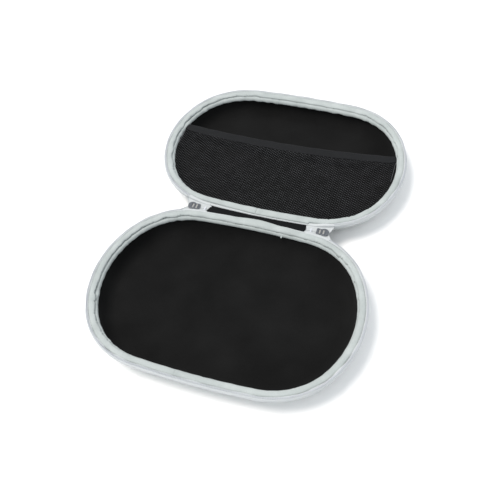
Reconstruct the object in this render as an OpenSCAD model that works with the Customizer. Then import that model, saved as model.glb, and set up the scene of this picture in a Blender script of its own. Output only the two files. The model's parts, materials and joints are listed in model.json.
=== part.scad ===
// Hard table-tennis bat case: two oval half shells, opened flat on a fabric hinge.
// Millimetres. X runs along the hinge, the base lies at -Y and the lid at +Y.
// The origin is on the table, under the middle of the hinge.

/* [Half shell] */
// Length of one half over its zip tape, along the hinge
half_l = 288; // [240:1:360]
// Width of one half over its zip tape, across the hinge
half_w = 208; // [176:1:270]
// Height of the rim above the table
shell_d = 27; // [23:0.5:40]
// Corner radius of the outline
corner_r = 83; // [60:1:86]
// How far the two long sides bow out between the corners
side_bow = 1.9; // [1:0.1:6]
// How far the two short ends bow out between the corners
end_bow = 5.1; // [2:0.1:12]

/* [Wall] */
// Thickness of the coated cloth cover
cover_t = 1; // [0.8:0.1:1.4]
// Thickness of the moulded foam
foam_t = 4; // [3:0.25:5]
// Thickness of the brushed lining
lining_t = 1; // [0.6:0.1:1.4]
// Lean of the wall from upright, in degrees
wall_lean = 18; // [8:1:26]
// Outer radius between the wall and the flat bottom
bottom_r = 20; // [12:0.5:21]
// How far the rim flange stands out past the wall
flange_w = 5; // [3.5:0.1:7]
// Height of the flange, cover included
flange_h = 3.6; // [3:0.1:4.5]

/* [Rim] */
// Width of the zip tape ridge along the outer edge
ridge_w = 3.3; // [2.6:0.1:4]
// Width of the groove that holds the seam thread
groove_w = 0.7; // [0.6:0.05:1]
// Width of the padded binding
bead_w = 6.8; // [5:0.1:8]
// Height of the padded binding above the rim
bead_h = 1.6; // [1:0.1:2]
// How far the binding reaches down the inside wall
lip_drop = 6.5; // [4:0.25:9]
// Thickness of the binding on the inside wall
lip_t = 0.8; // [0.5:0.05:1]
// Thickness of the seam thread
thread_d = 0.5; // [0.4:0.05:0.6]

/* [Hinge] */
// Gap between the two halves at the hinge
hinge_gap = 5.7; // [5:0.1:8]
// Length of the hinge strip
hinge_l = 112; // [80:1:113]
// Depth of the hinge strip below the rim
hinge_drop = 2.2; // [1:0.1:4]
// Thickness of each hinge layer
hinge_t = 1.1; // [0.8:0.1:1.3]

/* [Zip] */
// Width of the coil
coil_w = 1.9; // [1.5:0.1:2.2]
// How far past the start of a corner each parked slider stands
slider_out = 18.1; // [17:0.1:25]
// Length of a slider
slider_l = 13.5; // [12:0.25:15]
// Width of a slider
slider_w = 10; // [8.5:0.25:10.5]
// Thickness of a slider plate
plate_t = 1.2; // [0.9:0.1:1.4]
// Space between the slider plates
slot_h = 2.8; // [2.4:0.1:3.2]
// Length of a pull, from its eye to its end
pull_l = 12; // [9:0.5:13]
// Width of a pull
pull_w = 5; // [4:0.25:6]
// Radius of the bar that a pull swings on
bar_r = 0.8; // [0.6:0.05:0.9]

/* [Pocket] */
// Distance from the hinge line to the mouth of the pocket at its left end
mouth_left = 129; // [100:1:150]
// Distance from the hinge line to the mouth of the pocket at its right end
mouth_right = 136; // [100:1:150]
// How far the mouth bows towards the hinge at its middle
mouth_sag = 6.5; // [1:0.5:15]
// Width of the band along the mouth
band_w = 11.5; // [6:0.5:14]
// Thickness of the band
band_t = 2.2; // [1.8:0.1:3]
// Thickness of the net
mesh_t = 0.8; // [0.5:0.1:1]
// Depth of the net below the rim
mesh_drop = 4.2; // [3:0.1:6]

/* [Hidden] */
$fn = 64;

cloth_white = [0.88, 0.90, 0.92];
binding_white = [0.80, 0.84, 0.83];
lining_black = [0.11, 0.11, 0.11];
strap_black = [0.16, 0.16, 0.17];
metal_grey = [0.45, 0.47, 0.49];

clear = 0.1;          // face clearance between pieces that are sewn or slid together
hinge_clear = 0.3;    // side clearance of the hinge strip while it folds
pin_clear = 0.05;     // radial clearance of a pull on its bar
arc_steps = 6;        // steps round the bottom radius
half_x = half_l / 2;
half_y = half_w / 2;
half_y0 = hinge_gap / 2 + half_y;    // middle of each half, from the hinge line
wall_t = cover_t + foam_t + lining_t;
flange_top = shell_d - 1.6;
flange_low = flange_top - flange_h;
coil_top = shell_d + hinge_gap / 2 - clear;

// The outline is eight arcs that meet on tangents: two sides, two ends and four corners.
// A corner is a fillet, so the bows of a short side or end leave less room for it.
corner = min(corner_r, half_x - end_bow - 2 * side_bow, half_y - side_bow - 2 * end_bow);
corner_x = half_x - end_bow - corner;
corner_y = half_y - side_bow - corner;
side_r = (corner_x * corner_x + side_bow * side_bow) / (2 * side_bow) + corner;
end_r = (corner_y * corner_y + end_bow * end_bow) / (2 * end_bow) + corner;
slider_x = corner_x + slider_out;    // where the corners leave the sliders room in the gap
side_angle = atan2(corner_y - half_y + side_r, corner_x);
end_angle = atan2(corner_y, corner_x - half_x + end_r);

function reversed(list) = [for (i = [len(list) - 1:-1:0]) list[i]];

// Every cross-section is drawn with x as minus the distance in from the outer edge. A hairline is
// left between neighbouring arcs, and a block inside the section bridges it.
hairline = 0.01;
module arc(centre, radius, from, to) {
    short = hairline / 2 / radius * 180 / PI;
    translate([centre[0], centre[1], 0]) rotate([0, 0, from + short])
        rotate_extrude(angle = to - from - 2 * short, $fn = 180) translate([radius, 0]) children();
}

module around() {
    for (turn = [0, 180]) rotate([0, 0, turn]) {
        arc([half_x - end_r, 0], end_r, -end_angle, end_angle) children();
        arc([corner_x, corner_y], corner, end_angle, side_angle) children();
        arc([0, half_y - side_r], side_r, side_angle, 180 - side_angle) children();
        arc([-corner_x, corner_y], corner, 180 - side_angle, 180 - end_angle) children();
    }
}

// Short blocks inside a ring that bridge the joints between its arcs, so the ring is one piece
module bridge(centre, radius, turn) {
    translate([centre[0], centre[1], 0]) rotate([0, 0, turn]) translate([radius, 0, 0])
        rotate([90, 0, 0]) linear_extrude(1, center = true) children();
}

module bridges() {
    for (turn = [0, 180], angle = [end_angle, side_angle]) rotate([0, 0, turn]) {
        bridge([corner_x, corner_y], corner, angle) children();
        bridge([-corner_x, corner_y], corner, 180 - angle) children();
    }
}

// Fills the middle that the swept cross-sections leave open, and joins them, from inside their floor.
floor_in = corner - 1;
floor_skin = 0.05;
module middle(low, high) {
    size_x = 2 * (half_x - floor_in + 4);
    size_y = 2 * (half_y - floor_in + 4);
    translate([-size_x / 2, -size_y / 2, low + floor_skin])
        cube([size_x, size_y, high - low - 2 * floor_skin]);
}

module on_base() { translate([0, -half_y0, 0]) children(); }
module on_lid() { translate([0, half_y0, 0]) mirror([0, 1, 0]) children(); }

// Wall surface at a depth inside the cover: upright part, bottom radius, flat floor.
bow_in = flange_w + (flange_low - bottom_r * (1 - sin(wall_lean))) * tan(wall_lean)
    + bottom_r * cos(wall_lean);
function wall_in(depth, z) = flange_w + depth / cos(wall_lean) - (z - flange_low) * tan(wall_lean);
function wall_line(depth, top) = concat(
    [[-wall_in(depth, top), top]],
    [for (i = [0:arc_steps])
        let (a = wall_lean + (90 - wall_lean) * i / arc_steps)
        [-bow_in + (bottom_r - depth) * cos(a), bottom_r - (bottom_r - depth) * sin(a)]],
    [[-floor_in, depth]]);

// Under side of the flange, from its outer corner in to the wall, at a depth inside the cover
flange_edge = 0.9;
function flange_line(depth) = [
    [-flange_edge - depth, flange_top],
    [-flange_edge - depth, flange_low + depth]
];

module half_cover() {
    around() polygon(concat(
        flange_line(0), wall_line(0, flange_low),
        reversed(wall_line(cover_t, flange_low + cover_t)), reversed(flange_line(cover_t))));
    middle(0, cover_t);
}

module half_foam() {
    inner = cover_t + foam_t;
    around() polygon(concat(
        flange_line(cover_t), wall_line(cover_t, flange_low + cover_t),
        reversed(wall_line(inner, flange_top))));
    middle(cover_t, inner);
}

module half_lining() {
    inner = cover_t + foam_t;
    around() polygon(concat(
        wall_line(inner, flange_top), reversed(wall_line(wall_t, flange_top))));
    middle(inner, wall_t);
}

// Padded binding over the rim, with a lip that covers the top of the lining.
bead_out = ridge_w + groove_w;
bead_in = bead_out + bead_w;
lip_z = shell_d - lip_drop;
module half_binding() {
    around() polygon([
        [-bead_out, flange_top],
        [-bead_out, shell_d + bead_h * 0.3],
        [-bead_out - bead_w * 0.12, shell_d + bead_h * 0.75],
        [-bead_out - bead_w * 0.36, shell_d + bead_h],
        [-bead_out - bead_w * 0.62, shell_d + bead_h],
        [-bead_out - bead_w * 0.86, shell_d + bead_h * 0.65],
        [-bead_in, shell_d - bead_h * 0.2],
        [-wall_in(wall_t, lip_z) - lip_t, lip_z],
        [-wall_in(wall_t, lip_z), lip_z],
        [-wall_in(wall_t, flange_top), flange_top]
    ]);
    bridges() translate([-bead_in + bead_w * 0.2, flange_top + clear])
        square([bead_w * 0.7, shell_d - flange_top]);
}

module half_thread() {
    middle_in = ridge_w + groove_w / 2;
    around() translate([-middle_in - thread_d / 2, flange_top]) square([thread_d, thread_d]);
    bridges() translate([-middle_in - thread_d * 0.3, flange_top + thread_d * 0.2])
        square([thread_d * 0.6, thread_d * 0.6]);
}

// Zip tape: a rounded ridge on the outer edge that turns down over the flange.
ridge_top = shell_d + 1;
module half_tape() {
    difference() {
        around() polygon([
            [-ridge_w, flange_top],
            [-ridge_w, ridge_top - 0.9],
            [-ridge_w * 0.78, ridge_top - 0.2],
            [-ridge_w * 0.5, ridge_top],
            [-ridge_w * 0.2, ridge_top - 0.4],
            [0, ridge_top - 1.6],
            [0, flange_low + 0.6],
            [-flange_edge * 0.4, flange_low - 0.3],
            [-flange_edge + clear, flange_low - 0.3],
            [-flange_edge + clear, flange_top]
        ]);
        hinge_notch(hinge_l / 2 + clear);
    }
    difference() {
        bridges() translate([-ridge_w + clear, flange_top + clear])
            square([ridge_w * 0.6, 1]);
        hinge_notch(hinge_l / 2 + clear);
    }
}

module half_coil() {
    difference() {
        around() translate([-ridge_w * 0.5 - coil_w / 2, ridge_top])
            square([coil_w, coil_top - ridge_top]);
        hinge_notch(slider_x + slider_l / 2);
    }
    difference() {
        bridges() translate([-ridge_w * 0.5 - coil_w * 0.3, ridge_top + clear])
            square([coil_w * 0.6, coil_top - ridge_top - 2 * clear]);
        hinge_notch(slider_x + slider_l / 2);
    }
}

// Leaves the zip out where the hinge strip and the sliders are.
module hinge_notch(reach) {
    translate([-reach, 0, 0]) cube([2 * reach, half_y + 1, 2 * shell_d]);
}

// Net pocket over the hinge side of the lid, under a band that bows from wall to wall
mesh_z = shell_d - mesh_drop;
mesh_in = wall_in(wall_t, mesh_z) + lip_t + 4 * clear;
mouth_tilt = atan2(mouth_right - mouth_left, half_l);
mouth_y = (mouth_left + mouth_right) / 2;
// The straight of a short end may stop before the mouth's ends; the wall has curved in by then.
mouth_past = max(0, max(mouth_left, mouth_right) - half_y0 - corner_y);
wall_r = corner - mesh_in;
wall_curve = wall_r - sqrt(max(0, wall_r * wall_r - mouth_past * mouth_past));
band_half = half_x - mesh_in - 2.28 - wall_curve;
mouth_r = (band_half * band_half + mouth_sag * mouth_sag) / (2 * mouth_sag);
mouth_angle = asin(band_half / mouth_r);

// Puts the middle of the mouth's arc at the origin.
module mouth_frame() {
    translate([0, mouth_y, mesh_z]) rotate([0, 0, mouth_tilt])
        translate([0, mouth_r - mouth_sag, 0]) children();
}

module net_plate() {
    translate([0, 0, -mesh_t / 2]) {
        around() translate([-floor_in, 0]) square([floor_in - mesh_in, mesh_t]);
        middle(0, mesh_t);
    }
}

module pocket_mesh() {
    color(strap_black) difference() {
        translate([0, half_y0, mesh_z]) net_plate();
        mouth_frame() cylinder(h = shell_d, r = mouth_r + band_w, center = true, $fn = 360);
    }
}

// The band is a folded tape, open inside for the elastic.
module band_arc(wall) {
    half_angle = mouth_angle * (1 - wall / band_half);
    rotate([0, 0, 270 - half_angle]) rotate_extrude(angle = 2 * half_angle, $fn = 360)
        translate([mouth_r + wall, -band_t / 2 + wall])
            square([band_w - 2 * wall, band_t - 2 * wall]);
}
fold_t = 0.5;
module pocket_band() {
    color(strap_black) mouth_frame() difference() {
        band_arc(0);
        band_arc(fold_t);
    }
}

module pocket_elastic() { color(lining_black) mouth_frame() band_arc(fold_t + clear); }

// Hinge strip: a black web inside and a white cover outside, with the zip ends between them
strip_w = hinge_gap - 2 * hinge_clear;
web_top = shell_d - hinge_drop;
web_low = web_top - hinge_t;
tape_in = hinge_l / 2 - 8;
module hinge_web() {
    color(strap_black) translate([-hinge_l / 2, -strip_w / 2, web_low])
        cube([hinge_l, strip_w, hinge_t]);
}

module hinge_cover() {
    color(cloth_white) difference() {
        translate([-hinge_l / 2, -strip_w / 2, web_low - 2 * hinge_t])
            cube([hinge_l, strip_w, 2 * hinge_t]);
        for (side = [-1, 1]) translate([side * hinge_l / 2, 0, web_low])
            cube([2 * (hinge_l / 2 - tape_in), 2 * strip_w, 2 * hinge_t], center = true);
    }
}

// Closed end of the zip, from inside the hinge strip out into the parked slider.
chain_w = 6.6;
chain_end = slider_x - slider_l / 2 + 2.5;
module tape_end(side) {
    color(cloth_white) translate([0, 0, web_low - hinge_t]) union() {
        translate([side > 0 ? tape_in : -chain_end, -strip_w / 2, 0])
            cube([chain_end - tape_in, strip_w, hinge_t]);
        translate([side > 0 ? hinge_l / 2 + clear : -stop_x - clear, -chain_w / 2, 0])
            cube([stop_x - hinge_l / 2, chain_w, hinge_t]);
    }
}

// Metal staple that stops the slider, clamped round the end of the zip.
stop_w = 1.8;
stop_wall = 0.6;
run = 5;              // travel of a slider from its park to its stop
stop_x = slider_x - slider_l / 2 - run - 0.3 - stop_w / 2;
module zip_stop(side) {
    color(metal_grey) translate([side * stop_x, 0, web_low - hinge_t / 2]) difference() {
        cube([stop_w, chain_w + 2 * stop_wall + 2 * clear, hinge_t + 2 * stop_wall], center = true);
        cube([2 * stop_w, chain_w + 2 * clear, hinge_t + clear / 2], center = true);
    }
}

// Slider: two plates joined by a post at the nose, with ears under it for the pull.
slider_top = web_low + 0.5 * (slot_h - hinge_t) + plate_t;
slider_low = slider_top - 2 * plate_t - slot_h;
eye_r = 3;
eye_hole_r = 1.8;
bar_x = slider_l / 2 - 2.3;
bar_z = slider_low - eye_r - 0.5;
ear_gap = 2.6;
ear_t = 0.8;
module slider_plate() {
    nose_r = slider_w * 0.3;
    linear_extrude(plate_t) difference() {
        union() {
            translate([-slider_l / 2, -slider_w * 0.36]) square([slider_l * 0.5, slider_w * 0.72]);
            translate([slider_l / 2 - slider_w / 2 - 1, 0]) circle(r = slider_w / 2);
            translate([slider_l / 2 - nose_r, 0]) circle(r = nose_r);
        }
        translate([-slider_l / 2 + 2.6, 0]) square([1.6, slider_w * 0.42], center = true);
    }
}

module slider(side) {
    color(metal_grey) translate([side * slider_x, 0, 0]) mirror([side > 0 ? 0 : 1, 0, 0]) {
        translate([0, 0, slider_low]) slider_plate();
        translate([0, 0, slider_top - plate_t]) slider_plate();
        translate([slider_l / 2 - 5, -1.3, slider_low]) cube([3.4, 2.6, slider_top - slider_low]);
        for (y = [-ear_gap / 2 - ear_t, ear_gap / 2])
            translate([bar_x - 1.3, y, bar_z - 1.3]) cube([2.6, ear_t, slider_low - bar_z + 1.3 + clear]);
        translate([bar_x, 0, bar_z]) rotate([90, 0, 0])
            cylinder(h = ear_gap + 2 * ear_t - 0.2, r = bar_r, center = true);
    }
}

pull_t = 1.4;
module pull(side) {
    drop = eye_hole_r - bar_r - pin_clear;
    color(metal_grey) translate([side * (slider_x + bar_x), pull_t / 2, bar_z]) rotate([90, 0, 0])
        linear_extrude(pull_t) difference() {
            union() {
                translate([0, -drop]) circle(r = eye_r);
                translate([-pull_w / 2, -pull_l + pull_w / 2]) square([pull_w, pull_l - pull_w / 2 - 2]);
                translate([0, -pull_l + pull_w / 2]) circle(r = pull_w / 2);
            }
            translate([0, -drop]) circle(r = eye_hole_r);
            translate([0, -pull_l + pull_w / 2]) circle(r = pull_w / 4);
        }
}

color(cloth_white) on_base() half_cover();  // base_cover
color([0.3, 0.3, 0.32]) on_base() half_foam();  // base_foam_shell
color(lining_black) on_base() half_lining();  // base_lining
color(binding_white) on_base() half_binding();  // base_rim_binding
color(cloth_white) on_base() half_thread();  // base_rim_thread
color(cloth_white) on_base() half_tape();  // base_zip_tape
color(cloth_white) on_base() half_coil();  // base_zip_coil
color(cloth_white) on_lid() half_cover();  // lid_cover
color([0.3, 0.3, 0.32]) on_lid() half_foam();  // lid_foam_shell
color(lining_black) on_lid() half_lining();  // lid_lining
color(binding_white) on_lid() half_binding();  // lid_rim_binding
color(cloth_white) on_lid() half_thread();  // lid_rim_thread
color(cloth_white) on_lid() half_tape();  // lid_zip_tape
color(cloth_white) on_lid() half_coil();  // lid_zip_coil
pocket_mesh();
pocket_band();
pocket_elastic();
hinge_web();
hinge_cover();
tape_end(-1);  // tape_end_left
tape_end(1);  // tape_end_right
zip_stop(-1);  // zip_stop_left
zip_stop(1);  // zip_stop_right
slider(-1);  // slider_left
slider(1);  // slider_right
pull(-1);  // pull_left
pull(1);  // pull_right
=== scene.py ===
import json
import math
import bmesh
import bpy
import numpy as np
from mathutils import Matrix, Vector


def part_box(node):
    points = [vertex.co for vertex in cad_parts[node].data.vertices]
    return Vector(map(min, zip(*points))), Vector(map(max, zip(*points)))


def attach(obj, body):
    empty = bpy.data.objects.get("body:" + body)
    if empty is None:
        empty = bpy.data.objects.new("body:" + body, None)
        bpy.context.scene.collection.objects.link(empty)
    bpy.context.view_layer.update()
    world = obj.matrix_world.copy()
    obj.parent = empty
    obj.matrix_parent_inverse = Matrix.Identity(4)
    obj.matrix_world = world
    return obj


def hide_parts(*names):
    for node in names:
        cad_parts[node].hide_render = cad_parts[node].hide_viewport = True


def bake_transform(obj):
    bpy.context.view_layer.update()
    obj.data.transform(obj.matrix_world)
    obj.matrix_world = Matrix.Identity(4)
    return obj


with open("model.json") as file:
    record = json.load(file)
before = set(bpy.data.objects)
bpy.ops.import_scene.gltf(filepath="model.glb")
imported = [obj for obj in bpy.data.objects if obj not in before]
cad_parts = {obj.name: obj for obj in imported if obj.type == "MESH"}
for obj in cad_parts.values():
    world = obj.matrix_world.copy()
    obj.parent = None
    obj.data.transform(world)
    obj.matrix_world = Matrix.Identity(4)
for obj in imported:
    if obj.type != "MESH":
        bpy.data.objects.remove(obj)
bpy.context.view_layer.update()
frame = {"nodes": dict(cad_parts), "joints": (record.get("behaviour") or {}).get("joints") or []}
mm = 0.001

# The half shell's outline and wall in millimetres, its lean in degrees; the rest is read from the frame
shell = {"cornerR": 83, "sideBow": 1.9, "endBow": 5.1, "lean": 18, "bottomR": 20,
         "flangeIn": 5, "flangeDrop": 5.2, "flangeTopDrop": 1.6}
tapeLow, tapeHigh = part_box("base_zip_tape")
joints = {j["name"]: j for j in frame["joints"]}
hingeY = abs(joints["base_fold"]["pos_m"][1]) / mm          # half the gap between the halves
rimZ = joints["base_fold"]["pos_m"][2] / mm
halfX = tapeHigh.x / mm
halfY = (-tapeLow.y / mm - hingeY) / 2
middleY = hingeY + halfY
print("frame loaded: half", round(halfX * 2), "x", round(halfY * 2), "mm, rim at", rimZ)


# The outline as arcs (centre, radius, start and end angle), clockwise from the middle of the hinge side
def outlineArcs():
    r, a, b = shell["cornerR"], halfX, halfY
    cx, cy = a - shell["endBow"] - r, b - shell["sideBow"] - r
    sideR = (cx * cx + shell["sideBow"] ** 2) / (2 * shell["sideBow"]) + r
    endR = (cy * cy + shell["endBow"] ** 2) / (2 * shell["endBow"]) + r
    sideA = math.atan2(cy - b + sideR, cx)
    endA = math.atan2(cy, cx - a + endR)
    quarter = [(0, b - sideR, sideR, math.pi / 2, sideA), (cx, cy, r, sideA, endA),
               (a - endR, 0, endR, endA, 0)]
    arcs = list(quarter)
    arcs += [(x, -y, rr, -a1, -a0) for x, y, rr, a0, a1 in reversed(quarter)]
    arcs += [(-x, -y, rr, a0 - math.pi, a1 - math.pi) for x, y, rr, a0, a1 in quarter]
    arcs += [(-x, y, rr, -math.pi - a1, -math.pi - a0) for x, y, rr, a0, a1 in reversed(quarter)]
    return arcs


arcList = outlineArcs()
arcEnds = np.cumsum([0] + [rr * abs(a1 - a0) for x, y, rr, a0, a1 in arcList])
perimeter = arcEnds[-1]


# Points and outward normals at distances along the outline
def outlineAt(distance):
    d = np.mod(np.asarray(distance, float), perimeter)
    which = np.clip(np.searchsorted(arcEnds, d, side="right") - 1, 0, len(arcList) - 1)
    table = np.array(arcList)[which]
    angle = table[:, 3] + (d - arcEnds[which]) / table[:, 2] * np.sign(table[:, 4] - table[:, 3])
    normal = np.stack([np.cos(angle), np.sin(angle)], 1)
    return table[:, :2] + table[:, 2:3] * normal, normal


# Smooth noise along the outline that closes on itself; size is the usual wave length in mm
def ripple(distance, size, amount, seed, parts=7):
    rng = np.random.default_rng(seed)
    waves = np.maximum(1, np.round(perimeter / size * rng.uniform(0.6, 1.5, parts)))
    phases = rng.uniform(0, 2 * math.pi, parts)
    turns = 2 * math.pi * np.asarray(distance, float)[..., None] / perimeter * waves + phases
    return amount * np.sin(turns).sum(-1) / math.sqrt(parts / 2)


# Sharp narrow gathers along the outline, from 0 to 1
def gathers(distance, size, seed):
    wander = np.asarray(distance, float) + ripple(distance, size * 3, size * 0.45, seed)
    depth = np.clip(0.55 + ripple(distance, size * 2.2, 0.45, seed + 1), 0, 1)
    return depth * (1 - np.abs(np.sin(math.pi * wander / size))) ** 1.7


# 1 at a centre, falling off over a spread on both sides of it
def bell(at, centre, spread):
    return np.exp(-((at - centre) / spread) ** 2)


# A share from 0 to 1 that leaves and arrives gently
def eased(share):
    return share * share * (3 - 2 * share)


# From a half's own plane (hinge side at +y) to the model: base as it is, lid mirrored
def placeHalf(half, points):
    out = np.array(points, float)
    if half == "base":
        out[..., 1] = out[..., 1] - middleY
    else:
        out[..., 1] = middleY - out[..., 1]
    return out


# A mesh object from points in mm; points closer than merge are made one, faces point outwards
def makePiece(name, verts, faces, material, uvs, merge=0):
    mesh = bpy.data.meshes.new(name)
    mesh.from_pydata((np.asarray(verts, float) * mm).tolist(), [], [tuple(int(i) for i in f) for f in faces])
    layer = mesh.uv_layers.new(name="cloth")
    corners = np.zeros(len(mesh.loops), int)
    mesh.loops.foreach_get("vertex_index", corners)
    layer.data.foreach_set("uv", (np.asarray(uvs, float)[corners] * mm).ravel())
    work = bmesh.new()
    work.from_mesh(mesh)
    if merge:
        bmesh.ops.remove_doubles(work, verts=work.verts, dist=merge * mm)
    bmesh.ops.recalc_face_normals(work, faces=work.faces)
    work.to_mesh(mesh)
    work.free()
    mesh.validate()
    mesh.polygons.foreach_set("use_smooth", [True] * len(mesh.polygons))
    return addObject(name, mesh, material)


def addObject(name, mesh, material=None):
    piece = bpy.data.objects.new(name, mesh)
    bpy.context.scene.collection.objects.link(piece)
    if material:
        mesh.materials.clear()
        mesh.materials.append(material)
    return piece


# Faces of a grid of rows x columns; either way may close on itself
def gridFaces(rows, cols, closeRows, closeCols, first=0):
    faces = []
    for i in range(rows if closeRows else rows - 1):
        for j in range(cols if closeCols else cols - 1):
            a, b = i * cols + j, i * cols + (j + 1) % cols
            c, d = (i + 1) % rows * cols + (j + 1) % cols, (i + 1) % rows * cols + j
            faces.append((first + a, first + b, first + c, first + d))
    return faces


# A section's insets and heights, once for every station
def sectionRows(line, stations):
    return (np.repeat(line[None, :, k], stations, 0) for k in (0, 1))


# A section swept along the outline: inset and height are stations x section points, in mm
def sweepPiece(name, half, distance, inset, height, material, ring=True):
    point, normal = outlineAt(distance)
    flat = point[:, None, :] - normal[:, None, :] * inset[..., None]
    verts = placeHalf(half, np.concatenate([flat, (rimZ + height)[..., None]], 2))
    rows, cols = inset.shape
    step = np.hypot(np.diff(inset, axis=1), np.diff(height, axis=1))
    across = np.concatenate([np.zeros((rows, 1)), np.cumsum(step, 1)], 1)
    uvs = np.stack([np.repeat(np.asarray(distance)[:, None], cols, 1), across], 2)
    faces = gridFaces(rows, cols, ring, True)
    if not ring:
        faces += [tuple(range(cols)), tuple(range((rows - 1) * cols, rows * cols))]
    return makePiece(name, verts.reshape(-1, 3), faces, material, uvs.reshape(-1, 2))


# Materials
def toLinear(hexColour):
    values = [int(hexColour[i:i + 2], 16) / 255 for i in (1, 3, 5)]
    return tuple(v / 12.92 if v <= 0.04045 else ((v + 0.055) / 1.055) ** 2.4 for v in values) + (1,)


# A node with its settings and inputs: each input is a value, a socket, or a node whose first output feeds it
def addNode(tree, kind, settings=None, inputs=None):
    made = tree.nodes.new(kind)
    for key, value in (settings or {}).items():
        setattr(made, key, value)
    for key, value in (inputs or {}).items():
        if isinstance(value, bpy.types.Node):
            value = value.outputs[0]
        if isinstance(value, bpy.types.NodeSocket):
            tree.links.new(value, made.inputs[key])
        else:
            made.inputs[key].default_value = value
    return made


def newMaterial(name, surface):
    material = bpy.data.materials.new(name)
    material.use_nodes = True
    shader = material.node_tree.nodes["Principled BSDF"]
    for key, value in surface.items():
        shader.inputs[key].default_value = value
    return material, material.node_tree, shader


def perMm(size):
    return 1 / (size * mm)


# Colours the shader between two tones by a share, and raises its surface by a pattern
def dress(tree, shader, share, colours, relief=None, strength=0.5, depthMm=0.1):
    tone = addNode(tree, "ShaderNodeMixRGB", {},
                   {"Fac": share, "Color1": toLinear(colours[0]), "Color2": toLinear(colours[1])})
    tree.links.new(tone.outputs["Color"], shader.inputs["Base Color"])
    if relief is not None:
        bump = addNode(tree, "ShaderNodeBump", {},
                       {"Height": relief, "Strength": strength, "Distance": depthMm * mm})
        tree.links.new(bump.outputs["Normal"], shader.inputs["Normal"])


# Smooth polyester cloth with a soft polyurethane coating: near white, faint grain, a low broad shine
def coatedCloth(name, colours, grainMm=0.9, weaveMm=1.1, patchMm=38):
    material, tree, shader = newMaterial(name, {"Roughness": 0.5, "IOR": 1.46, "Sheen Weight": 0.12})
    place = addNode(tree, "ShaderNodeTexCoord").outputs["Object"]
    patchy = addNode(tree, "ShaderNodeTexNoise", {},
                     {"Vector": place, "Scale": perMm(patchMm), "Detail": 3.0})
    grain = addNode(tree, "ShaderNodeTexNoise", {},
                    {"Vector": place, "Scale": perMm(grainMm), "Detail": 4.0})
    threads = addNode(tree, "ShaderNodeTexVoronoi", {"feature": "SMOOTH_F1"},
                      {"Vector": place, "Scale": perMm(weaveMm)})
    both = addNode(tree, "ShaderNodeMath", {"operation": "ADD"},
                   {0: grain, 1: threads})
    dress(tree, shader, patchy, colours, both, 0.22, 0.25)
    spread = addNode(tree, "ShaderNodeMapRange", {},
                     {"Value": patchy, "To Min": 0.42, "To Max": 0.6})
    tree.links.new(spread.outputs["Result"], shader.inputs["Roughness"])
    return material


# Woven tape in the piece's own UVs: ribs or a herringbone across the width, threads of a real spacing
def wovenTape(name, colours, threadMm, ribMm, slant=1.0, roughness=0.8, sheen=0.25, depthMm=0.12, shine=0.4):
    material, tree, shader = newMaterial(name, {"Roughness": roughness, "IOR": 1.5, "Sheen Weight": sheen,
                                                "Sheen Roughness": 0.4, "Specular IOR Level": shine})
    cloth = addNode(tree, "ShaderNodeUVMap", {"uv_map": "cloth"})
    parts = addNode(tree, "ShaderNodeSeparateXYZ", {}, {"Vector": cloth})
    folded = addNode(tree, "ShaderNodeMath", {"operation": "PINGPONG"},
                     {0: parts.outputs["Y"], 1: ribMm * mm})
    leaning = addNode(tree, "ShaderNodeMath", {"operation": "MULTIPLY_ADD"},
                      {0: folded, 1: slant, 2: parts.outputs["X"]})
    turns = addNode(tree, "ShaderNodeMath", {"operation": "MULTIPLY"},
                    {0: leaning, 1: 2 * math.pi * perMm(threadMm)})
    thread = addNode(tree, "ShaderNodeMath", {"operation": "SINE"}, {0: turns})
    place = addNode(tree, "ShaderNodeTexCoord").outputs["Object"]
    patchy = addNode(tree, "ShaderNodeTexNoise", {}, {"Vector": place, "Scale": perMm(14), "Detail": 5.0})
    lift = addNode(tree, "ShaderNodeMapRange", {},
                   {"Value": thread, "From Min": -1.0, "To Min": 0.25, "To Max": 0.75})
    mixed = addNode(tree, "ShaderNodeMath", {"operation": "MULTIPLY"},
                    {0: lift, 1: patchy})
    dress(tree, shader, mixed, colours, thread, 0.5, depthMm)
    return material


# Brushed or knitted cloth: fibres too fine to draw one by one stand as noise, with a soft sheen
def brushedCloth(name, colours, pileMm, patchMm, sheen, roughness=0.95, depthMm=0.3):
    material, tree, shader = newMaterial(name, {"Roughness": roughness, "IOR": 1.5, "Sheen Weight": sheen,
                                                "Sheen Roughness": 0.55, "Specular IOR Level": 0.13})
    place = addNode(tree, "ShaderNodeTexCoord").outputs["Object"]
    pile = addNode(tree, "ShaderNodeTexNoise", {},
                   {"Vector": place, "Scale": perMm(pileMm), "Detail": 6.0, "Roughness": 0.7})
    patchy = addNode(tree, "ShaderNodeTexNoise", {},
                     {"Vector": place, "Scale": perMm(patchMm), "Detail": 4.0})
    mixed = addNode(tree, "ShaderNodeMath", {"operation": "MULTIPLY"},
                    {0: pile, 1: patchy})
    reach = addNode(tree, "ShaderNodeMapRange", {},
                    {"Value": mixed, "From Min": 0.12, "From Max": 0.42})
    dress(tree, shader, reach, colours, pile, 0.6, depthMm)
    return material


# Cast zinc alloy with a thin plating: grey metal, slight casting skin, fine scuffs
def castZinc(name, colours, roughness, scuffMm=0.7):
    material, tree, shader = newMaterial(name, {"Metallic": 1.0, "Roughness": roughness})
    place = addNode(tree, "ShaderNodeTexCoord").outputs["Object"]
    skin = addNode(tree, "ShaderNodeTexNoise", {}, {"Vector": place, "Scale": perMm(scuffMm), "Detail": 5.0})
    dress(tree, shader, skin, colours, skin, 0.3, 0.05)
    spread = addNode(tree, "ShaderNodeMapRange", {},
                     {"Value": skin, "To Min": roughness - 0.1, "To Max": roughness + 0.12})
    tree.links.new(spread.outputs["Result"], shader.inputs["Roughness"])
    return material


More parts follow.
